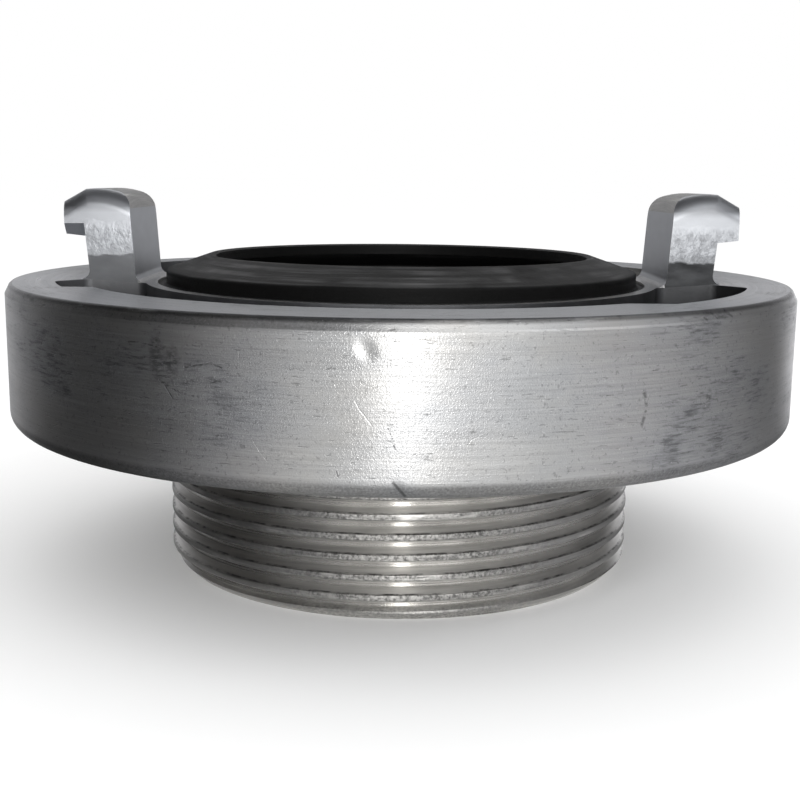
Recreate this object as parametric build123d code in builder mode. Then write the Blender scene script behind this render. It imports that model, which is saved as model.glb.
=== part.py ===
from build123d import *
import os
from math import sqrt

# Fixed quarter turn fire hose coupling, size C: a forged and turned aluminium
# body with two claw lugs, and a rubber lip seal that is pushed into its collar.
# Millimetres. +Z runs along the waterway towards the lugs, the lugs stand on
# +X and -X, and z = 0 is the end of the threaded spigot.

# Claws. Two equal halves mate, so the openings follow from the lugs.
lug_spacing = 66.0  # across the inner faces of the two lugs, at mid height
lug_width = 16.0
lug_height = 11.0  # above the ring's face, at the crown
lug_draft = 0.3  # lean of the inner face, each way from mid height
shank_thickness = 6.4  # from the lug's inner face to its turned outer side
shank_lean = 0.25  # lean of that side, each way from its mid height
hook_reach = 2.6  # beyond the shank
hook_gap = 5.1  # from the ring's face up to the hook's underside, at the shank
hook_rise = 0.3  # of the underside, out to the hook's tip
hook_bevel = 2.8  # radial width of the bevel on the hook's outer top edge
hook_bevel_drop = 1.6
crown_radius = 10.2
crown_offset = 4.4  # from the hook's tip in to the top of the crown
lug_rounding = 2.2  # top edges of the lug
lead_in_length = 2.8  # ramp under the leading edge of the hook
lead_in_height = 1.7
foot_rounding = 1.1  # foot of the lug, on the face and on the collar

# Clearances of a mated pair
shank_clearance = 0.6  # lip to the other half's shank
hook_clearance = 1.2  # rim to the other half's hook
collar_clearance = 0.6  # collar to the other half's lug
lip_play = 0.4  # lip to the other half's hook
floor_clearance = 0.6  # channel floor to the other half's lug

# Ring and its claw channels
rim_width = 5.8  # solid rim outside the channels
floor_thickness = 5.4  # flange below the channels
rim_bevel = 0.6  # radial width of the bevel on the ring's front edge
rim_bevel_drop = 1.2
rim_rounding = 1.9  # back edge
root_flare = 3.6  # solid root beside each lug, measured at the channel's rim
entry_end = 32.4  # from the lugs' centre line to the lip's near end
pocket_end = 19.1  # from the lugs' centre line to the lip's far end
nose_rounding = 1.3  # ends of the lip
channel_corner = 1.4  # upright corners of the channel
channel_rounding = 1.0  # along its floor

# Collar that holds the seal
collar_drop = 0.4  # top of the collar below the ring's face
collar_wall = 1.4
collar_ledge = 2.2  # ledge between the collar and the ring's face, at the lugs
seat_depth = 6.0  # below the top of the collar
seat_undercut = 0.4  # groove that holds the seal's foot
seat_undercut_height = 2.2

# Threaded spigot for a G 2 pipe thread, drawn at its major diameter
thread_diameter = 59.614
thread_depth = 1.479
spigot_length = 19.0
spigot_bevel = 1.5
neck_width = 2.4  # run-out of the thread at the ring
spigot_wall = 3.328  # between the thread's root and the waterway
bore_bevel = 0.8

# Seal
seal_clearance = 0.1  # foot to seat
seal_height = 3.0  # top of the lip above the ring's face
shoulder_height = 1.1  # top of the wall above the ring's face
seal_step = 1.0  # from the foot in to the wall
flange_drop = 0.3  # top of the foot below the top of the collar
shoulder_rounding = 0.35
cone_width = 5.5  # from the wall in to the lip's top edge
lip_land = 0.7  # radial width of that top edge
lip_edge = 0.2  # and its slope
lip_thickness = 1.5
foot_width = 5.2
foot_height = 2.6
foot_slope = 1.0  # from the foot up to the pressure hollow
wall_thickness = 2.2  # rubber outside the pressure hollow

# Levels
channel_depth = lug_height + floor_clearance
face_z = spigot_length + floor_thickness + channel_depth
floor_z = face_z - channel_depth
lip_z = face_z - hook_gap + lip_play
hook_z = face_z + hook_gap
lug_top_z = face_z + lug_height
bevel_z = lug_top_z - hook_bevel_drop
ramp_z = hook_z + lead_in_height
collar_z = face_z - collar_drop
seat_z = collar_z - seat_depth
groove_z = seat_z + seat_undercut_height
flange_z = collar_z - flange_drop
shoulder_z = face_z + shoulder_height
seal_top_z = face_z + seal_height

# Radii
half_width = lug_width / 2
half_root = half_width + root_flare
lug_face = lug_spacing / 2
shank_radius = lug_face + shank_thickness
hook_radius = shank_radius + hook_reach
inner_face_low = lug_face - lug_draft
inner_face_high = lug_face + lug_draft
foot_start = inner_face_low - foot_rounding
foot_end = shank_radius - shank_lean + foot_rounding
crown_x = hook_radius - crown_offset
collar_radius = lug_face - collar_clearance
ledge_radius = collar_radius + collar_ledge
slot_radius = shank_radius + shank_clearance
channel_radius = hook_radius + hook_clearance
ring_radius = channel_radius + rim_width
lip_root_radius = (channel_radius + ring_radius) / 2
seat_radius = collar_radius - collar_wall
groove_radius = seat_radius + seat_undercut
thread_radius = thread_diameter / 2
neck_radius = thread_radius - thread_depth
bore_radius = neck_radius - spigot_wall
foot_radius = seat_radius - seal_clearance
bead_radius = groove_radius - seal_clearance
wall_radius = foot_radius - seal_step
hollow_radius = wall_radius - wall_thickness
lip_outer_radius = wall_radius - cone_width
lip_inner_radius = lip_outer_radius - lip_land
foot_inner_radius = bead_radius - foot_width


def on_circle(radius, offset, side):
    """Plan point on a circle, at an offset below the lugs' centre line."""
    return (side * sqrt(radius**2 - offset**2), -offset)


def on_crown(x):
    """Point of the lug's crowned top, in the section through its middle."""
    return (x, lug_top_z - crown_radius + sqrt(crown_radius**2 - (x - crown_x) ** 2))


# Lug: a turned hook with a lead-in ramp under its leading edge, on a turned
# shank with a rounded foot, cut to a drafted inner face, a crowned top and two
# flat sides
with BuildPart() as lug:
    with BuildSketch(Plane.XZ):
        with BuildLine():
            Polyline(
                (collar_radius, hook_z),
                (shank_radius, hook_z),
                (hook_radius, hook_z + hook_rise),
                (hook_radius, bevel_z),
                (hook_radius - hook_bevel, lug_top_z),
                (collar_radius, lug_top_z),
                close=True,
            )
        make_face()
    revolve(axis=Axis.Z)
    with BuildSketch(Plane.YZ):
        with BuildLine():
            Polyline(
                (half_width - lead_in_length, hook_z),
                (half_width, ramp_z),
                (half_width, hook_z),
                close=True,
            )
        make_face()
    extrude(amount=ring_radius, mode=Mode.SUBTRACT)
    with BuildSketch(Plane.XZ):
        with BuildLine():
            Polyline(
                (shank_radius - shank_lean, face_z + foot_rounding),
                (shank_radius + shank_lean, ramp_z),
                (foot_start, ramp_z),
                (foot_start, floor_z),
                (channel_radius, floor_z),
                (channel_radius, face_z),
                (foot_end, face_z),
            )
            CenterArc((foot_end, face_z + foot_rounding), foot_rounding, 180, 90)
        make_face()
    revolve(axis=Axis.Z)
    with BuildSketch(Plane.XZ):
        with BuildLine():
            CenterArc((foot_start, collar_z + foot_rounding), foot_rounding, 270, 90)
            Line((inner_face_low, collar_z + foot_rounding), on_crown(inner_face_high))
            ThreePointArc(on_crown(inner_face_high), on_crown(crown_x), on_crown(hook_radius))
            Polyline(
                on_crown(hook_radius),
                (ring_radius, bevel_z),
                (ring_radius, floor_z),
                (foot_start, floor_z),
                (foot_start, collar_z),
            )
        make_face()
    extrude(amount=half_width, both=True, mode=Mode.INTERSECT)
    side_faces = lug.faces().sort_by(Axis.Y)
    side_edges = side_faces[0].edges() + side_faces[-1].edges()
    inner_top_edge = lug.edges().filter_by(Axis.Y).group_by(Axis.Z)[-1]
    fillet(side_edges.filter_by_position(Axis.Z, bevel_z, lug_top_z) + inner_top_edge, lug_rounding)

# Claw channel between the two lug roots, open to the face
with BuildPart() as channel:
    right_wall = [
        on_circle(collar_radius, half_width, 1),
        on_circle(shank_radius, half_width, 1),
        on_circle(channel_radius, half_root, 1),
    ]
    left_wall = [
        on_circle(channel_radius, half_root, -1),
        on_circle(shank_radius, half_width, -1),
        on_circle(collar_radius, half_width, -1),
    ]
    with BuildSketch(Plane.XY.offset(floor_z)):
        with BuildLine():
            Polyline(*right_wall)
            ThreePointArc(right_wall[-1], (0, -channel_radius), left_wall[0])
            Polyline(*left_wall)
            ThreePointArc(left_wall[-1], (0, -collar_radius), right_wall[0])
        make_face()
    extrude(amount=lug_top_z - floor_z)
    fillet(channel.edges().filter_by(Axis.Z), channel_corner)
    fillet(channel.edges().group_by(Axis.Z)[0], channel_rounding)

# Lip that the other half's hook turns under, with a blunt nose at each end
with BuildPart() as lip:
    near_end = on_circle(slot_radius, entry_end, 1)
    far_end = on_circle(slot_radius, pocket_end, -1)
    near_root = on_circle(lip_root_radius, entry_end, 1)
    far_root = on_circle(lip_root_radius, pocket_end, -1)
    with BuildSketch(Plane.XY.offset(lip_z)) as lip_plan:
        with BuildLine():
            Line(near_end, near_root)
            ThreePointArc(near_root, (0, -lip_root_radius), far_root)
            Line(far_root, far_end)
            ThreePointArc(far_end, (0, -slot_radius), near_end)
        make_face()
        fillet(lip_plan.vertices().sort_by_distance((0, 0))[:2], nose_rounding)
    extrude(amount=face_z - lip_z)

# Body: a turned blank with the lugs, the channels and the lips
with BuildPart() as coupling_body:
    with BuildSketch(Plane.XZ):
        with BuildLine():
            Polyline(
                (bore_radius + bore_bevel, 0),
                (thread_radius - spigot_bevel, 0),
                (thread_radius, spigot_bevel),
                (thread_radius, spigot_length - neck_width),
                (neck_radius, spigot_length - neck_width + thread_depth),
                (neck_radius, spigot_length),
                (ring_radius - rim_rounding, spigot_length),
            )
            CenterArc((ring_radius - rim_rounding, spigot_length + rim_rounding), rim_rounding, 270, 90)
            Polyline(
                (ring_radius, spigot_length + rim_rounding),
                (ring_radius, face_z - rim_bevel_drop),
                (ring_radius - rim_bevel, face_z),
                (ledge_radius, face_z),
                (ledge_radius, collar_z),
                (seat_radius, collar_z),
                (seat_radius, groove_z + seat_undercut),
                (groove_radius, groove_z),
                (groove_radius, seat_z),
                (bore_radius, seat_z),
                (bore_radius, bore_bevel),
                (bore_radius + bore_bevel, 0),
            )
        make_face()
    revolve(axis=Axis.Z)
    with PolarLocations(0, 2):
        add(lug.part)
    with PolarLocations(0, 2):
        add(channel.part, mode=Mode.SUBTRACT)
    with PolarLocations(0, 2):
        add(lip.part)

# Seal: a foot in the seat, a wall with a shoulder, and a lip that the water
# pressure in the hollow behind it pushes out
with BuildPart() as face_seal:
    with BuildSketch(Plane.XZ) as section:
        with BuildLine():
            Polyline(
                (foot_inner_radius, seat_z),
                (bead_radius, seat_z),
                (bead_radius, groove_z - seal_clearance),
                (foot_radius, groove_z + seat_undercut - seal_clearance),
                (foot_radius, flange_z),
                (wall_radius, flange_z),
                (wall_radius, shoulder_z),
                (lip_outer_radius, seal_top_z),
                (lip_inner_radius, seal_top_z - lip_edge),
                (lip_inner_radius, seal_top_z - lip_thickness),
                (hollow_radius, shoulder_z - lip_thickness),
                (hollow_radius, seat_z + foot_height + foot_slope),
                (foot_inner_radius, seat_z + foot_height),
                close=True,
            )
        make_face()
        fillet(section.vertices().group_by(Axis.X)[-3], shoulder_rounding)
    revolve(axis=Axis.Z)

coupling_body.part.label = "coupling_body"
face_seal.part.label = "face_seal"

os.makedirs("parts", exist_ok=True)
export_step(coupling_body.part, "parts/coupling_body.step")
export_step(face_seal.part, "parts/face_seal.step")
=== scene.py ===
import math

import bmesh
import bpy
from mathutils import Matrix, Vector, noise


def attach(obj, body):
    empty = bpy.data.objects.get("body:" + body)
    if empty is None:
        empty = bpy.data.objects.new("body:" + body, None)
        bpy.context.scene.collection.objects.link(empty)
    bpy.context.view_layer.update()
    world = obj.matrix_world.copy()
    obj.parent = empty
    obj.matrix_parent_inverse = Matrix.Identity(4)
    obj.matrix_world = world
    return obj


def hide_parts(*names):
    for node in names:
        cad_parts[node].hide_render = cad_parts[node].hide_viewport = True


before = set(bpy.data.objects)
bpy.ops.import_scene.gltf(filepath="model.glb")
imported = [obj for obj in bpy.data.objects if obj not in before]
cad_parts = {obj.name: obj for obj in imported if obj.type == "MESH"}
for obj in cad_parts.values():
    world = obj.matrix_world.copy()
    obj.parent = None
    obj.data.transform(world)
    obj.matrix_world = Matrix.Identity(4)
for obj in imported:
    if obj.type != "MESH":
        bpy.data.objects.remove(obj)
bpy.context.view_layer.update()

# Levels and radii of the CAD part, in metres
RING_TOP = 0.036
RING_UNDER = 0.019
RING_RADIUS = 0.049
RIM_ROUNDING = 0.0019  # the ring's lower edge
BEVEL_RADIUS = 0.0484
BEVEL_START = 0.0348
THREAD_RADIUS = 0.029807
NECK_RADIUS = 0.028328
NECK_WIDTH = 0.0024
SPIGOT_BEVEL = 0.0015
BORE_EDGE = 0.0258
COLLAR_TOP = 0.0356
LUG_RADIUS = 0.0325  # the collar ends here and the lugs begin
LIP_RADIUS = 0.04008  # inner edge of the ring's face
CHANNEL_FLOOR = 0.0244
CHANNEL_INNER = 0.0322
CHANNEL_OUTER = 0.0435

# Shell that the scene makes: segments, rows and the rounding of the ring's upper edge
SIDE_SEGMENTS = 960
SIDE_ROWS = 48
RIM_STEPS = 8
UNDERSIDE_RADII = (NECK_RADIUS + 0.0006, 0.034, 0.041)
BEVEL_SHARES = (0.06, 0.3, 0.6, 0.82)
EDGE_ROUNDING = 0.00025
EDGE_SHARES = ((0.08, 0.42), (0.45, 0.1), (0.85, 0.01))  # inwards and down, of the rounding
SHARP_ANGLE = math.radians(30)

# Pipe thread, right-handed
PITCH = 0.002309
CREST_AT_FRONT = 0.01212
THREAD_SEGMENTS = 320
# Profile over one pitch: (share of the pitch from the crest's middle, depth)
PROFILE = [
    (-0.13, 0.00002), (-0.09, 0.0), (-0.045, 0.0), (0.0, 0.0), (0.045, 0.0), (0.09, 0.0), (0.13, 0.00002),
    (0.16, 0.00012), (0.26, 0.00056), (0.36, 0.00100), (0.41, 0.00122), (0.455, 0.00136), (0.5, 0.00141),
    (0.545, 0.00136), (0.59, 0.00122), (0.64, 0.00100), (0.74, 0.00056), (0.84, 0.00012),
]
CREST_DEPTH = 0.00003  # shallower than this, the crest is worn
CREST_WEAR = 0.00005
CREST_WAVE = 0.00003

# Knocks in the ring's side: (mm round from the front, level in mm), turn in radians,
# half length, half width and depth in mm
KNOCKS = [
    ((-3.15, 33.2), -0.9, 1.3, 0.95, 0.12),
    ((0.0, 20.15), -0.9, 1.1, 0.4, 0.2),
]

# Slack for finding the solid's faces and vertices
SAME_POINT = 2e-6
SAME_LEVEL = 1e-6
TINY = 2e-5
NEAR = 4 * TINY

# Material slots of the body
TURNED, THREAD, LUG, RECESS = range(4)


# Helpers for the body's mesh
def tau(share):
    """Angle of a share of the full turn."""
    return 2 * math.pi * share


def radius_of(v):
    return math.hypot(v.co.x, v.co.y)


def angle_of(v):
    return math.atan2(v.co.y, v.co.x) % tau(1)


def ring_of(bm, radius, z, count):
    """A closed row of vertices round the axis."""
    return [
        bm.verts.new((radius * math.cos(tau(i / count)), radius * math.sin(tau(i / count)), z))
        for i in range(count)
    ]


def join_rows(bm, low, high):
    """Quads between two closed rows of the same count."""
    n = len(low)
    for i in range(n):
        bm.faces.new((low[i], low[(i + 1) % n], high[(i + 1) % n], high[i]))


def zip_loops(bm, first, second):
    """Triangles between two closed loops with different counts, matched by their angle."""
    a = sorted(first, key=angle_of)
    b = sorted(second, key=angle_of)
    i = j = 0
    while i < len(a) or j < len(b):
        next_a = angle_of(a[(i + 1) % len(a)]) + tau((i + 1) // len(a))
        next_b = angle_of(b[(j + 1) % len(b)]) + tau((j + 1) // len(b))
        if j >= len(b) or (i < len(a) and next_a <= next_b):
            bm.faces.new((a[i % len(a)], a[(i + 1) % len(a)], b[j % len(b)]))
            i += 1
        else:
            bm.faces.new((a[i % len(a)], b[(j + 1) % len(b)], b[j % len(b)]))
            j += 1


def open_loop(bm, z, low, high, slack=SAME_LEVEL):
    """Vertices of open edges at a level, between two radii."""
    return list({
        v for e in bm.edges if e.is_boundary for v in e.verts
        if abs(v.co.z - z) < slack and low < radius_of(v) < high
    })


# Thread
def thread_sheet(bm):
    """Helical surface of the spigot, longer than it at both ends."""
    per = len(PROFILE)
    start = (CREST_AT_FRONT - 0.75 * PITCH) % PITCH - 2 * PITCH
    turns = int((RING_UNDER + 4 * PITCH) / PITCH) + 1
    grid = []
    for i in range(THREAD_SEGMENTS):
        share = i / THREAD_SEGMENTS
        column = []
        for j in range(turns * per):
            u, depth = PROFILE[j % per]
            z = start + PITCH * (j // per + u + share)
            long_wave = noise.noise(Vector((60 * share, 0.9 * j, 3.1)))
            short_wave = noise.noise(Vector((900 * share, 5.1 * j, 0)))
            rough = long_wave * (0.5 + short_wave)
            if depth < CREST_DEPTH:
                depth += CREST_WEAR * abs(rough)
                z += CREST_WAVE * rough
            r = THREAD_RADIUS - depth
            r = min(r, THREAD_RADIUS - SPIGOT_BEVEL + max(z, 0))
            r = min(r, max(NECK_RADIUS, THREAD_RADIUS - max(0, z - (RING_UNDER - NECK_WIDTH))))
            column.append(bm.verts.new((r * math.cos(tau(share)), r * math.sin(tau(share)), z)))
        grid.append(column)
    for i in range(THREAD_SEGMENTS):
        a, b = grid[i], grid[(i + 1) % THREAD_SEGMENTS]
        shift = per if i == THREAD_SEGMENTS - 1 else 0
        for j in range(turns * per - 1 - shift):
            bm.faces.new((a[j], b[j + shift], b[j + 1 + shift], a[j + 1]))
    bm.normal_update()


def cut_thread():
    """The thread as a mesh of its own, cut at the spigot's end and at the ring."""
    bm = bmesh.new()
    thread_sheet(bm)
    for z, cut_below in ((0.0, True), (RING_UNDER, False)):
        bmesh.ops.bisect_plane(
            bm, geom=bm.verts[:] + bm.edges[:] + bm.faces[:], dist=1e-7,
            plane_co=(0, 0, z), plane_no=(0, 0, 1), clear_inner=cut_below, clear_outer=not cut_below,
        )
    mesh = bpy.data.meshes.new("thread")
    bm.to_mesh(mesh)
    bm.free()
    return mesh


# Ring
def knock(v):
    """Sink a vertex of the ring's side where something has hit it."""
    u = 1000 * RING_RADIUS * math.atan2(v.co.x, -v.co.y)
    z = 1000 * v.co.z
    for (u0, z0), turn, long_half, wide_half, depth in KNOCKS:
        du, dz = u - u0, z - z0
        p = (du * math.cos(turn) + dz * math.sin(turn)) / long_half
        q = (dz * math.cos(turn) - du * math.sin(turn)) / wide_half
        far = p * p + q * q
        if far < 1:
            share = 1 - depth * 0.001 * (1 - far) ** 1.3 / RING_RADIUS
            v.co.x *= share
            v.co.y *= share


def ring_profile():
    """Radius and level of each row of the ring's shell, from its underside up to its face."""
    rows = [(radius, RING_UNDER) for radius in UNDERSIDE_RADII]
    for k in range(RIM_STEPS + 1):
        a = -math.pi / 2 + k / RIM_STEPS * math.pi / 2
        rows.append((RING_RADIUS - RIM_ROUNDING + RIM_ROUNDING * math.cos(a),
                     RING_UNDER + RIM_ROUNDING + RIM_ROUNDING * math.sin(a)))
    side_start = RING_UNDER + RIM_ROUNDING
    for k in range(1, SIDE_ROWS + 1):
        rows.append((RING_RADIUS, side_start + (BEVEL_START - side_start) * k / SIDE_ROWS))
    for k in BEVEL_SHARES:
        rows.append((RING_RADIUS - (RING_RADIUS - BEVEL_RADIUS) * k,
                     BEVEL_START + (RING_TOP - BEVEL_START) * k))
    for inwards, down in EDGE_SHARES:
        rows.append((BEVEL_RADIUS - EDGE_ROUNDING * inwards, RING_TOP - EDGE_ROUNDING * down))
    return rows


# Body
def is_shell(f):
    """Whether a face of the solid belongs to the ring's side, its underside or the spigot."""
    rim_level = RING_UNDER + RIM_ROUNDING + TINY
    rim_radius = RING_RADIUS - RIM_ROUNDING - TINY
    return (
        all(radius_of(v) > BEVEL_RADIUS - TINY for v in f.verts)
        or all(v.co.z < RING_UNDER + TINY and radius_of(v) > BORE_EDGE - TINY for v in f.verts)
        or all(v.co.z < rim_level and radius_of(v) > rim_radius for v in f.verts)
    )


def slot_of(f):
    """Material slot of a face of the solid."""
    low = min(v.co.z for v in f.verts)
    high = max(v.co.z for v in f.verts)
    above = low > RING_TOP - 0.0005
    on_lug = low > RING_TOP + 0.002
    if above and (on_lug or min(radius_of(v) for v in f.verts) > LUG_RADIUS):
        return TURNED if high < RING_TOP + TINY else LUG
    middle = f.calc_center_median()
    if low > CHANNEL_FLOOR - TINY and CHANNEL_INNER < math.hypot(middle.x, middle.y) < CHANNEL_OUTER:
        return TURNED if high > RING_TOP - TINY and above else RECESS
    return TURNED


def build_body():
    """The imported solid's inside and top, with a threaded spigot and a ring of the scene's own."""
    bm = bmesh.new()
    bm.from_mesh(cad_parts["coupling_body"].data)
    bmesh.ops.remove_doubles(bm, verts=bm.verts, dist=SAME_POINT)
    bmesh.ops.delete(bm, geom=[f for f in bm.faces if is_shell(f)], context="FACES")
    top_loop = open_loop(bm, RING_TOP, BEVEL_RADIUS - NEAR, BEVEL_RADIUS + NEAR, NEAR)
    for v in top_loop:
        share = (BEVEL_RADIUS - EDGE_ROUNDING) / radius_of(v)
        v.co.x *= share
        v.co.y *= share
    bore_loop = open_loop(bm, 0.0, BORE_EDGE - NEAR, BORE_EDGE + NEAR, NEAR)
    for f in bm.faces:
        f.material_index = slot_of(f)

    solid_count = len(bm.faces)
    thread = cut_thread()
    bm.from_mesh(thread)
    bpy.data.meshes.remove(thread)
    bm.faces.ensure_lookup_table()
    for f in bm.faces[solid_count:]:
        f.material_index = THREAD
    zip_loops(bm, bore_loop, open_loop(bm, 0.0, BORE_EDGE + 5 * TINY, THREAD_RADIUS))

    rows = [ring_of(bm, radius, z, SIDE_SEGMENTS) for radius, z in ring_profile()]
    for row in rows:
        for v in row:
            knock(v)
    for low, high in zip(rows, rows[1:]):
        join_rows(bm, low, high)
    zip_loops(bm, open_loop(bm, RING_UNDER, NECK_RADIUS - 5 * TINY, NECK_RADIUS + 10 * TINY), rows[0])
    zip_loops(bm, rows[-1], top_loop)

    bmesh.ops.recalc_face_normals(bm, faces=bm.faces)
    bmesh.ops.dissolve_degenerate(bm, dist=1e-7, edges=bm.edges)
    for f in bm.faces:
        f.smooth = True
    for e in bm.edges:
        if len(e.link_faces) == 2 and e.calc_face_angle(0) > SHARP_ANGLE:
            e.smooth = False
    mesh = bpy.data.meshes.new("coupling_body_detail")
    bm.to_mesh(mesh)
    bm.free()
    obj = bpy.data.objects.new("coupling_body_detail", mesh)
    bpy.context.scene.collection.objects.link(obj)
    return obj


body = build_body()
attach(body, "root")
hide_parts("coupling_body")


# Materials
class Shader:
    """A material, and short ways to write its nodes."""

    def __init__(self, name, color, metallic, roughness):
        self.material = bpy.data.materials.new(name)
        self.material.use_nodes = True
        self.tree = self.material.node_tree
        self.bsdf = self.tree.nodes["Principled BSDF"]
        self.set(Base_Color=(*color, 1), Metallic=metallic, Roughness=roughness)
        coordinates = self.node("TexCoord")
        self.place = coordinates.outputs["Object"]
        split = self.node("SeparateXYZ", self.place)
        self.x, self.y, self.z = split.outputs
        flat = self.node("CombineXYZ", self.x, self.y)
        self.radius = self.node("VectorMath", flat.outputs[0], operation="LENGTH").outputs["Value"]
        # places in mm, round the ring from the front and up
        turn = self.math("ARCTAN2", self.x, self.math("MULTIPLY", self.y, -1.0))
        self.around = self.math("MULTIPLY", turn, 1000 * RING_RADIUS)
        self.level = self.math("MULTIPLY", self.z, 1000.0)

    def node(self, kind, *inputs, **settings):
        node = self.tree.nodes.new("ShaderNode" + kind)
        for key, value in settings.items():
            setattr(node, key, value)
        for socket, value in zip(node.inputs, inputs):
            self.put(socket, value)
        return node

    def put(self, socket, value):
        if isinstance(value, bpy.types.NodeSocket):
            self.tree.links.new(value, socket)
        else:
            socket.default_value = value

    def set(self, **inputs):
        """Values or links for the shader's own sockets."""
        for key, value in inputs.items():
            self.put(self.bsdf.inputs[key.replace("_", " ")], value)

    def math(self, operation, *inputs):
        return self.node("Math", *inputs, operation=operation).outputs[0]

    def times(self, first, *others):
        for other in others:
            first = self.math("MULTIPLY", first, other)
        return first

    def plus(self, first, *others):
        for other in others:
            first = self.math("ADD", first, other)
        return first

    def minus(self, first, other):
        return self.math("SUBTRACT", first, other)

    def span(self, value, low, high, out_low=0.0, out_high=1.0):
        """The value's range from low to high, mapped and clamped."""
        return self.node("MapRange", value, low, high, out_low, out_high).outputs[0]

    def band(self, value, middle, half, soft):
        """1 within half of the middle, falling to 0 over soft."""
        off = self.math("ABSOLUTE", self.minus(value, middle))
        return self.span(off, half + soft, half)

    def stretched(self, x, y, z):
        """Object coordinates scaled apart."""
        return self.node("VectorMath", self.place, (x, y, z), operation="MULTIPLY").outputs[0]

    def turned(self, round_scale, across_scale):
        """Coordinates that are long round the axis and fine across the turning lines."""
        across = self.times(self.plus(self.radius, self.z), across_scale)
        return self.node("CombineXYZ", self.times(self.x, round_scale),
                         self.times(self.y, round_scale), across).outputs[0]

    def noise(self, vector, scale=1.0, detail=2.0, rough=0.5):
        node = self.node("TexNoise")
        for key, value in (("Vector", vector), ("Scale", scale), ("Detail", detail), ("Roughness", rough)):
            self.put(node.inputs[key], value)
        return node.outputs["Fac"]

    def blend(self, factor, a, b):
        """Colour a where the factor is 0 and b where it is 1."""
        node = self.node("Mix", data_type="RGBA")
        for socket, value in zip((node.inputs[0], node.inputs[6], node.inputs[7]), (factor, a, b)):
            self.put(socket, value)
        return node.outputs[2]

    def bump(self, height, distance, normal=None):
        node = self.node("Bump")
        node.inputs["Distance"].default_value = distance
        self.put(node.inputs["Height"], height)
        if normal is not None:
            self.put(node.inputs["Normal"], normal)
        return node.outputs[0]

    def soft_edge(self, radius):
        """Normal that rounds the mesh's edges."""
        return self.node("Bevel", radius, samples=4).outputs[0]

    def swirl(self, share):
        """Turning lines that draw a highlight out across them."""
        tangent = self.node("Tangent", direction_type="RADIAL", axis="Z")
        self.set(Anisotropic=share, Anisotropic_Rotation=0.25, Tangent=tangent.outputs[0])

    def darkened(self, tone, marks):
        """The tone, less a share of itself on each mask."""
        for mask, share in marks:
            tone = self.times(tone, self.minus(1.0, self.times(mask, share)))
        return tone

    def lightened(self, tone, marks):
        """The tone, plus an amount on each mask."""
        for mask, more in marks:
            tone = self.plus(tone, self.times(mask, more))
        return tone

    def paint(self, color, tone):
        """The base colour, scaled by a tone."""
        scaled = self.node("VectorMath", color, operation="SCALE")
        self.put(scaled.inputs["Scale"], tone)
        self.set(Base_Color=scaled.outputs[0])


# Colours of the metal and the rubber, linear
METAL_WARM = (0.371, 0.366, 0.356, 1)
METAL_COOL = (0.351, 0.355, 0.361, 1)
# cooler colour of the top face: a painted reflection
METAL_FACE_PAINTED_REFLECTION = (0.346, 0.354, 0.368, 1)
METAL_LUG = (0.345, 0.355, 0.373)
# dark colour of the claw channels: painted shade
METAL_RECESS_PAINTED_SHADE = (0.16, 0.163, 0.17)
# the thread's colour, lighter than the ring's: painted light
METAL_THREAD_WITH_PAINTED_LIGHT = (0.60, 0.59, 0.57)
CREST_DULL = (0.35, 0.35, 0.35, 1)
RUBBER = (0.004, 0.004, 0.004, 1)
RUBBER_CONE_GREY = (0.065, 0.065, 0.066, 1)

# Marks on the ring's side: points as (mm round from the front, level in mm), and half width in mm
DARK_STROKES = [
    ([(-1.07, 26.0), (-0.7, 25.1), (-0.41, 24.0)], 0.05),
    ([(-23.97, 29.3), (-21.76, 28.35), (-19.96, 28.1)], 0.10),
    ([(-23.49, 29.16), (-22.36, 27.6)], 0.07),
    ([(-29.1, 32.7), (-26.2, 32.8), (-23.75, 32.4)], 0.08),
    ([(24.4, 28.8), (24.8, 27.0), (24.6, 26.3), (24.2, 25.2)], 0.16),
    ([(31.6, 35.75), (32.7, 35.0)], 0.12),
    ([(33.4, 35.8), (34.4, 35.05)], 0.10),
    ([(35.8, 35.8), (37.0, 35.1)], 0.13),
    ([(37.4, 35.7), (38.7, 35.2)], 0.09),
    ([(-21.0, 30.8), (-18.2, 31.3), (-16.9, 31.0)], 0.09),
    ([(-5.94, 22.3), (-5.66, 21.2)], 0.05),
]
BRIGHT_STROKES = [
    ([(-4.1, 28.5), (-3.7, 27.7), (-3.36, 27.3), (-2.53, 26.2)], 0.06),
    ([(-15.2, 33.0), (-15.12, 32.0)], 0.03),
    ([(-13.9, 24.4), (-13.2, 23.3), (-12.4, 22.4)], 0.03),
    ([(6.2, 24.3), (6.6, 24.9), (7.3, 25.2), (8.0, 25.1)], 0.04),
]
NICK = [([(-0.6, 20.95), (0.05, 20.1), (0.6, 19.4)], 0.13)]
# Spots: middle, half width and half height in mm
DARK_SPOTS = [
    ((33.4, 27.2), 0.45, 0.9),
    ((-24.2, 31.6), 0.9, 2.4),
    ((-22.4, 31.2), 0.8, 1.5),
    ((-17.8, 29.8), 0.7, 0.35),
]


def stroke_mask(s, strokes):
    """1 on the strokes of a list, by the distance to their runs."""
    best = 0.0
    for points, half in strokes:
        for (u0, z0), (u1, z1) in zip(points, points[1:]):
            du, dz = u1 - u0, z1 - z0
            length = math.hypot(du, dz)
            u = s.minus(s.around, u0)
            z = s.minus(s.level, z0)
            run = s.plus(s.times(u, du / length), s.times(z, dz / length))
            off = s.math("ABSOLUTE", s.minus(s.times(u, dz / length), s.times(z, du / length)))
            over = s.math("ABSOLUTE", s.minus(run, length / 2))
            far = s.math("MAXIMUM", off, s.minus(over, length / 2 - half))
            best = s.math("MAXIMUM", best, s.span(far, half * 1.6, half * 0.5))
    return best


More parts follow.
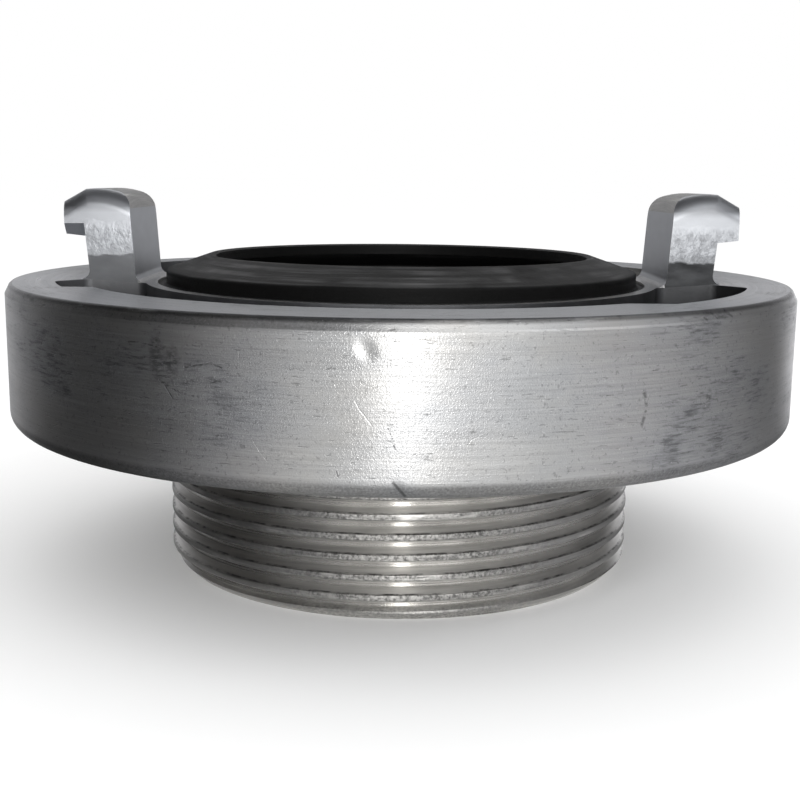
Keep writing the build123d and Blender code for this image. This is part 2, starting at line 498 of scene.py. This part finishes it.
def spot_mask(s, spots):
    """1 on soft oval spots."""
    best = 0.0
    for (u0, z0), wide, high in spots:
        u = s.math("DIVIDE", s.minus(s.around, u0), wide)
        z = s.math("DIVIDE", s.minus(s.level, z0), high)
        far = s.plus(s.times(u, u), s.times(z, z))
        best = s.math("MAXIMUM", best, s.span(far, 1.6, 0.2))
    return best


def turned_metal():
    """The ring, the collar and all that has no other metal."""
    s = Shader("turned_aluminium", (0.36, 0.36, 0.365), metallic=1.0, roughness=0.34)
    s.swirl(0.75)

    # turning lines, patches, grain and painted glints
    wander = s.noise(s.place, 700.0, 2.0)
    fine = s.noise(s.turned(130, 6500), detail=3.0)
    broad = s.noise(s.turned(30, 1800), detail=3.0)
    dashes = s.span(s.noise(s.turned(550, 5200), detail=2.0), 0.66, 0.74)
    patches = s.noise(s.stretched(70, 70, 110), detail=4.0, rough=0.62)
    sparkle = s.noise(s.place, 4200.0, 2.0, 0.6)
    grit = s.span(s.noise(s.place, 6800.0, 1.0), 0.5, 0.75)
    grit = s.times(grit, s.span(patches, 0.35, 0.6, 0.3, 1.0))
    specks = s.span(s.noise(s.place, 2300.0, 3.0, 0.65), 0.60, 0.68)
    # painted glints: tiny bright specks added to the colour
    painted_glints = s.span(s.noise(s.place, 3300.0, 2.0, 0.6), 0.68, 0.75)
    ragged = s.span(s.noise(s.turned(900, 2200), detail=4.0, rough=0.7), 0.40, 0.56)

    # stains, weaker in the clean middle of the front
    front = s.span(s.y, 0.01, -0.01)
    calm = s.times(front, s.band(s.around, 4.0, 13.0, 12.0))
    loud = s.span(calm, 0.0, 1.0, 1.0, 0.12)
    smudge = s.times(s.span(patches, 0.56, 0.72), loud)
    fibres = s.times(s.noise(s.turned(420, 3200), detail=4.0, rough=0.65), patches)
    fibres = s.times(s.span(fibres, 0.29, 0.40), loud)

    # single marks
    dark_marks = s.times(front, stroke_mask(s, DARK_STROKES), ragged)
    spots = s.times(front, spot_mask(s, DARK_SPOTS), ragged)
    bright_marks = s.times(front, stroke_mask(s, BRIGHT_STROKES))
    nick = s.times(front, stroke_mask(s, NICK))

    # edges and zones of the profile
    collar = s.times(s.band(s.z, COLLAR_TOP, 0.0001, 0.0001), s.span(s.radius, 0.0323, 0.0321))
    collar = s.times(collar, s.band(s.x, 0.0, 0.019, 0.007))
    # a painted highlight along the inner edge of the ring's face, broken by noise
    lip_edge_painted_highlight = s.times(s.band(s.radius, LIP_RADIUS, 0.00012, 0.00006), s.span(s.z, 0.0358, 0.0359))
    lip_edge_painted_highlight = s.times(lip_edge_painted_highlight, s.span(wander, 0.42, 0.58))
    bevel = s.times(s.span(s.z, 0.03478, 0.03492), s.span(s.radius, 0.04835, 0.04845))
    # the bevel's left part darker in specks: dirt, and painted shade where it reflects dark
    bevel_dirt_and_painted_shade = s.times(bevel, s.span(s.around, -1.0, -7.0), s.span(sparkle, 0.3, 0.55, 0.6, 1.0))
    # a painted highlight on the bevel, from the front towards the right
    painted_bevel_highlight = s.times(bevel, s.span(s.around, -3.0, 4.0), s.span(s.around, 42.0, 24.0))
    # a painted highlight along the bevel's lower edge, right of the front
    painted_edge_highlight = s.times(s.band(s.z, 0.0349, 0.00008, 0.00006), s.band(s.around, 23.0, 8.0, 6.0))
    rim = s.times(s.band(s.radius, BEVEL_RADIUS, 0.00022, 0.00012), s.span(s.z, 0.0354, 0.0357))
    rim = s.times(rim, s.span(s.noise(s.turned(150, 3500), detail=4.0, rough=0.6), 0.28, 0.48))
    # painted shade over the ring's lower rounding, broken into specks
    rounding = s.times(s.span(s.z, 0.0209, 0.0203), s.span(sparkle, 0.35, 0.6, 0.6, 1.0))
    # the top face, which takes the painted cool reflection
    face = s.times(s.span(s.z, 0.03585, 0.03595), s.span(s.radius, 0.0485, 0.0484))

    tone = s.times(s.span(fine, 0.3, 0.7, 0.9, 1.07), s.span(broad, 0.3, 0.7, 0.95, 1.05))
    tone = s.darkened(tone, (
        (smudge, 0.14), (fibres, 0.48), (dashes, 0.3), (dark_marks, 0.5), (spots, 0.45), (rim, 0.65),
        (specks, 0.28), (rounding, 0.52), (collar, 0.8), (nick, 0.6), (bevel_dirt_and_painted_shade, 0.35),
    ))
    tone = s.lightened(tone, (
        (bright_marks, s.span(wander, 0.45, 0.6, 0.0, 0.1)),
        (lip_edge_painted_highlight, 0.35), (painted_bevel_highlight, 0.14), (painted_edge_highlight, 0.4), (painted_glints, 0.35),
    ))
    tint = s.blend(s.span(patches, 0.35, 0.65), METAL_WARM, METAL_COOL)
    s.paint(s.blend(face, tint, METAL_FACE_PAINTED_REFLECTION), tone)
    s.set(Roughness=s.plus(s.span(patches, 0.3, 0.7, 0.31, 0.37), s.span(broad, 0.3, 0.7, -0.05, 0.05)))
    normal = s.bump(fine, 0.000015)
    normal = s.bump(sparkle, 0.000012, normal)
    normal = s.bump(grit, 0.000009, normal)
    scratches = s.plus(dark_marks, s.plus(s.times(bright_marks, 0.5), dashes))
    s.set(Normal=s.bump(scratches, -0.000018, normal))
    return s.material


def lug_metal():
    """The lugs: flat fronts with a raw zone over a foot darkened by a painted shadow, and a crown whose
    domed look is painted: painted light on it, painted shade along its top.
    """
    s = Shader("forged_lug", (0.38, 0.385, 0.395), metallic=1.0, roughness=0.42)
    facing = s.node("SeparateXYZ", s.node("NewGeometry").outputs["Normal"]).outputs
    across = s.math("ABSOLUTE", facing[1])
    upwards = facing[2]
    flat = s.span(across, 0.96, 0.99)

    def sides(left, right):
        """A value for each of the two lugs."""
        return s.span(s.x, -0.01, 0.01, left, right)

    # zones by height, above and below a ragged line
    wander = s.noise(s.place, 420.0, 3.0)
    level = s.plus(s.z, s.span(wander, 0.3, 0.7, -0.0002, 0.0002))
    height = s.minus(level, sides(0.0390, 0.0387))
    above = s.span(height, -0.0001, 0.0001)
    raw = s.times(flat, above, s.span(level, 0.0432, 0.0422))
    # the foot below the ragged line: a painted shadow
    foot = s.times(flat, s.minus(1.0, above))
    high = s.span(s.z, 0.0441, 0.0449)

    # faces by the way they face, which get painted light and shade
    inner = s.span(s.math("ABSOLUTE", facing[0]), 0.7, 0.95)
    crown = s.times(s.span(upwards, 0.2, 0.5), s.span(across, 0.35, 0.1))
    crown = s.times(crown, s.span(s.z, 0.039, 0.042, -0.3, 1.0))
    under = s.span(upwards, -0.4, -0.7)
    rounded = s.times(s.span(across, 0.97, 0.9), s.span(across, 0.2, 0.5))
    low_rounding_painted_light = s.times(rounded, s.minus(1.0, high))
    high_rounding_painted_shade = s.times(high, s.span(across, 0.15, 0.45))

    lumps = s.noise(s.stretched(1300, 1300, 1000), detail=3.0, rough=0.6)
    grain = s.noise(s.place, 2400.0, 4.0, 0.65)
    cloud = s.noise(s.stretched(300, 300, 700), detail=3.0)
    mottled = s.times(raw, s.span(lumps, 0.36, 0.6, -1.0, 0.2))
    # painted light on the inner faces, the crown, the undersides and the low roundings; painted shade over
    # the high roundings and the foot; on the flat fronts painted light for the left lug and painted shade
    # for the right
    tone = s.lightened(s.span(cloud, 0.3, 0.7, 0.94, 1.03), (
        (mottled, sides(0.16, 0.28)), (inner, 0.25), (crown, 0.6), (under, 0.7), (low_rounding_painted_light, 0.7),
        (flat, sides(0.16, -0.11)), (foot, sides(-0.75, -0.76)), (high_rounding_painted_shade, -0.32),
    ))
    s.paint(METAL_LUG, tone)
    s.set(Roughness=s.plus(s.times(raw, 0.04), 0.42))
    normal = s.bump(s.times(grain, s.plus(raw, 0.04)), 0.00003)
    inside = s.times(raw, s.span(height, 0.0, 0.0008))
    s.set(Normal=s.bump(s.times(lumps, inside), 0.00007, normal))
    return s.material


def recess_metal():
    """The claw channels, darkened with painted shade, more on the right."""
    s = Shader("forged_recess_painted_shade", METAL_RECESS_PAINTED_SHADE, metallic=1.0, roughness=0.55)
    grain = s.noise(s.place, 1500.0, 4.0, 0.6)
    cloud = s.noise(s.place, 160.0, 3.0)
    # the right side darker than the left: painted shade
    side = s.span(s.x, -0.02, 0.02, 1.05, 0.52)
    s.paint(METAL_RECESS_PAINTED_SHADE, s.times(side, s.span(cloud, 0.3, 0.7, 0.7, 1.15)))
    s.set(Normal=s.bump(grain, 0.00003, s.soft_edge(0.0002)))
    return s.material


def thread_metal():
    """The thread: smooth flanks, and worn crests between lines of painted shade, with painted glints on
    the crests near the front.
    """
    s = Shader("thread", (0.42, 0.42, 0.41), metallic=1.0, roughness=0.38)
    s.swirl(0.85)
    uneven = s.noise(s.turned(160, 700), detail=3.0, rough=0.6)
    worn = s.plus(s.radius, s.span(uneven, 0.3, 0.7, -0.0002, 0.00016))
    crest = s.times(s.span(worn, 0.0296, 0.02972), s.span(s.z, 0.0012, 0.0018))
    crest = s.math("MAXIMUM", crest, s.times(s.span(s.z, 0.0019, 0.0012), 0.7))
    ragged = s.noise(s.turned(500, 1800), detail=3.0, rough=0.7)
    # painted shade along the crests' edges
    crest_border_painted_shade = s.times(s.band(s.radius, 0.02962, 0.00006, 0.0001), s.span(ragged, 0.42, 0.62))
    faced = s.band(s.around, 2.0, 14.0, 18.0)
    fine = s.noise(s.turned(70, 5200), detail=3.0)
    grain = s.noise(s.place, 2900.0, 4.0, 0.65)
    cloud = s.noise(s.turned(120, 500), detail=4.0, rough=0.6)
    # crests darker than the flanks; near the front less so in spots, which are painted glints
    crest_dark_and_painted_glints = s.blend(faced, CREST_DULL, s.span(grain, 0.38, 0.62, 0.75, 0.15))
    tone = s.times(s.span(fine, 0.3, 0.7, 0.85, 1.12), s.span(cloud, 0.3, 0.7, 0.8, 1.12))
    s.paint(METAL_THREAD_WITH_PAINTED_LIGHT, s.darkened(tone, ((crest_border_painted_shade, 0.7), (crest, crest_dark_and_painted_glints))))
    s.set(Roughness=s.span(s.radius, 0.0286, 0.0290, 0.25, 0.42))
    wear = s.times(crest, s.span(faced, 0.0, 1.0, 0.3, 1.0), grain)
    s.set(Normal=s.bump(wear, 0.00008, s.bump(fine, 0.000014)))
    return s.material


def seal_rubber():
    """Black rubber, lighter grey in streaks on the seal's cone."""
    s = Shader("rubber", (0.008, 0.008, 0.0083), metallic=0.0, roughness=0.5)
    s.set(Specular_IOR_Level=0.08)
    streaks = s.noise(s.turned(45, 1500), detail=4.0, rough=0.6)
    cloud = s.noise(s.place, 140.0, 3.0)
    cone = s.times(s.span(s.z, 0.0370, 0.0374), s.span(s.radius, 0.0240, 0.0244))
    # grey streaks on the seal's cone
    cone_grey_streaks = s.times(s.span(streaks, 0.42, 0.62), s.span(cloud, 0.35, 0.65), cone)
    s.set(Base_Color=s.blend(cone_grey_streaks, RUBBER, RUBBER_CONE_GREY))
    s.set(Roughness=s.span(streaks, 0.3, 0.7, 0.44, 0.58))
    s.set(Normal=s.bump(s.noise(s.place, 2600.0, 3.0), 0.00002, s.soft_edge(0.00015)))
    return s.material


for make_metal in (turned_metal, thread_metal, lug_metal, recess_metal):  # in the order of the slots
    body.data.materials.append(make_metal())
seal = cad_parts["face_seal"]
seal.data.materials.clear()
seal.data.materials.append(seal_rubber())

# Studio
CAMERA_PLACE = (0, -0.15715, 0.04823)
CAMERA_TILT = 10.265  # degrees below level
CAMERA_ROLL = 0.555
CAMERA_LENS = 54.42
SENSOR_WIDTH = 36
FLOOR_HALF = 30
LIGHT_TARGET = (0, 0, 0.03)
WARM_LIGHT = (1.0, 0.99, 0.975)
COOL_LIGHT = (0.96, 0.98, 1.0)
CARD_STEPS = 8  # faces from one shade to the next

scene = bpy.context.scene
scene.view_settings.view_transform = "Standard"

camera_data = bpy.data.cameras.new("camera")
camera_data.lens = CAMERA_LENS
camera_data.sensor_width = SENSOR_WIDTH
camera_data.clip_start = 0.01
camera = bpy.data.objects.new("camera", camera_data)
scene.collection.objects.link(camera)
camera.matrix_world = (
    Matrix.Translation(CAMERA_PLACE)
    @ Matrix.Rotation(math.radians(90 - CAMERA_TILT), 4, "X")
    @ Matrix.Rotation(math.radians(CAMERA_ROLL), 4, "Z")
)
scene.camera = camera

world = bpy.data.worlds.new("studio")
scene.world = world
world.use_nodes = True
background = world.node_tree.nodes["Background"]
background.inputs["Color"].default_value = (1, 1, 1, 1)
background.inputs["Strength"].default_value = 1.0


def matt(name):
    """A material without gloss, and its shader."""
    material = bpy.data.materials.new(name)
    material.use_nodes = True
    shader = material.node_tree.nodes["Principled BSDF"]
    shader.inputs["Specular IOR Level"].default_value = 0
    return material, shader


def add_floor():
    h = FLOOR_HALF
    mesh = bpy.data.meshes.new("floor")
    mesh.from_pydata([(-h, -h, 0), (h, -h, 0), (h, h, 0), (-h, h, 0)], [], [(0, 1, 2, 3)])
    floor = bpy.data.objects.new("floor", mesh)
    scene.collection.objects.link(floor)
    material, shader = matt("floor")
    shader.inputs["Base Color"].default_value = (1, 1, 1, 1)
    shader.inputs["Roughness"].default_value = 0.9
    mesh.materials.append(material)


def softbox(name, place, width, height, power, color=(1, 1, 1)):
    """An area light that shines at the object and stays out of the picture."""
    data = bpy.data.lights.new(name, "AREA")
    data.shape = "RECTANGLE"
    data.size = width
    data.size_y = height
    data.energy = power
    data.color = color
    lamp = bpy.data.objects.new(name, data)
    scene.collection.objects.link(lamp)
    lamp.location = place
    lamp.rotation_euler = (Vector(LIGHT_TARGET) - Vector(place)).to_track_quat("-Z", "Y").to_euler()
    lamp.visible_camera = False


def card(name, start, end, profile, shades):
    """A graded card round a part of the circle, in degrees from the front, that only gloss shows."""
    steps = CARD_STEPS * (len(shades) - 1)
    verts = []
    tones = []
    for i in range(steps + 1):
        a = math.radians(start + (end - start) * i / steps)
        verts += [(r * math.sin(a), -r * math.cos(a), z) for r, z in profile]
        k = min(i // CARD_STEPS, len(shades) - 2)
        tone = shades[k] + (shades[k + 1] - shades[k]) * (i / CARD_STEPS - k)
        tones += [tone] * len(profile)
    n = len(profile)
    faces = [
        (i * n + j, (i + 1) * n + j, (i + 1) * n + j + 1, i * n + j + 1)
        for i in range(steps) for j in range(n - 1)
    ]
    mesh = bpy.data.meshes.new(name)
    mesh.from_pydata(verts, [], faces)
    shade = mesh.color_attributes.new("shade", "FLOAT_COLOR", "POINT")
    for item, tone in zip(shade.data, tones):
        item.color = (tone, tone, tone * 1.03, 1)
    obj = bpy.data.objects.new(name, mesh)
    scene.collection.objects.link(obj)
    material, shader = matt(name)
    shader.inputs["Roughness"].default_value = 1
    tree = material.node_tree
    attribute = tree.nodes.new("ShaderNodeAttribute")
    attribute.attribute_name = "shade"
    tree.links.new(attribute.outputs["Color"], shader.inputs["Base Color"])
    mesh.materials.append(material)
    obj.visible_camera = False
    obj.visible_diffuse = False
    obj.visible_shadow = False


add_floor()

# Cards: start and end in degrees, (radius, level) profile, shades from start to end
FOLDED = [(0.034, 0.0005), (0.16, 0.0005), (0.16, 0.2)]
TALL = [(0.034, 0.0005), (0.16, 0.0005), (0.16, 0.24)]
card("left_card", -150, -24, TALL, [0.52, 0.48, 0.38, 0.2, 0.09, 0.07, 0.09, 0.16, 0.46, 0.8])
card("right_card", 42, 150, FOLDED, [0.92, 0.75, 0.57, 0.35, 0.2, 0.22, 0.6, 0.45])
card("right_fill", 118, 165, [(0.15, 0.0005), (0.15, 0.042)], [0.4, 1.0, 1.0, 0.8])
card("back_card", 150, 210, [(0.25, 0.0005), (0.25, 0.16)], [0.34, 0.32])
card("bevel_card", -27, -3, [(0.16, 0.115), (0.16, 0.24)], [0.2, 0.35])
card("top_card", 0, 360, [(0.16, 0.25), (0.0001, 0.25)], [0.2, 0.2])

# Lights: place, width and height in metres, watts
softbox("front_light", (0.012, -0.5, 0.10), 0.016, 0.12, 0.74, WARM_LIGHT)
softbox("front_fill", (0.16, -0.47, 0.10), 0.22, 0.12, 0.22)
softbox("high_light", (0.318, -0.353, 0.473), 0.9, 0.1, 0.78, COOL_LIGHT)
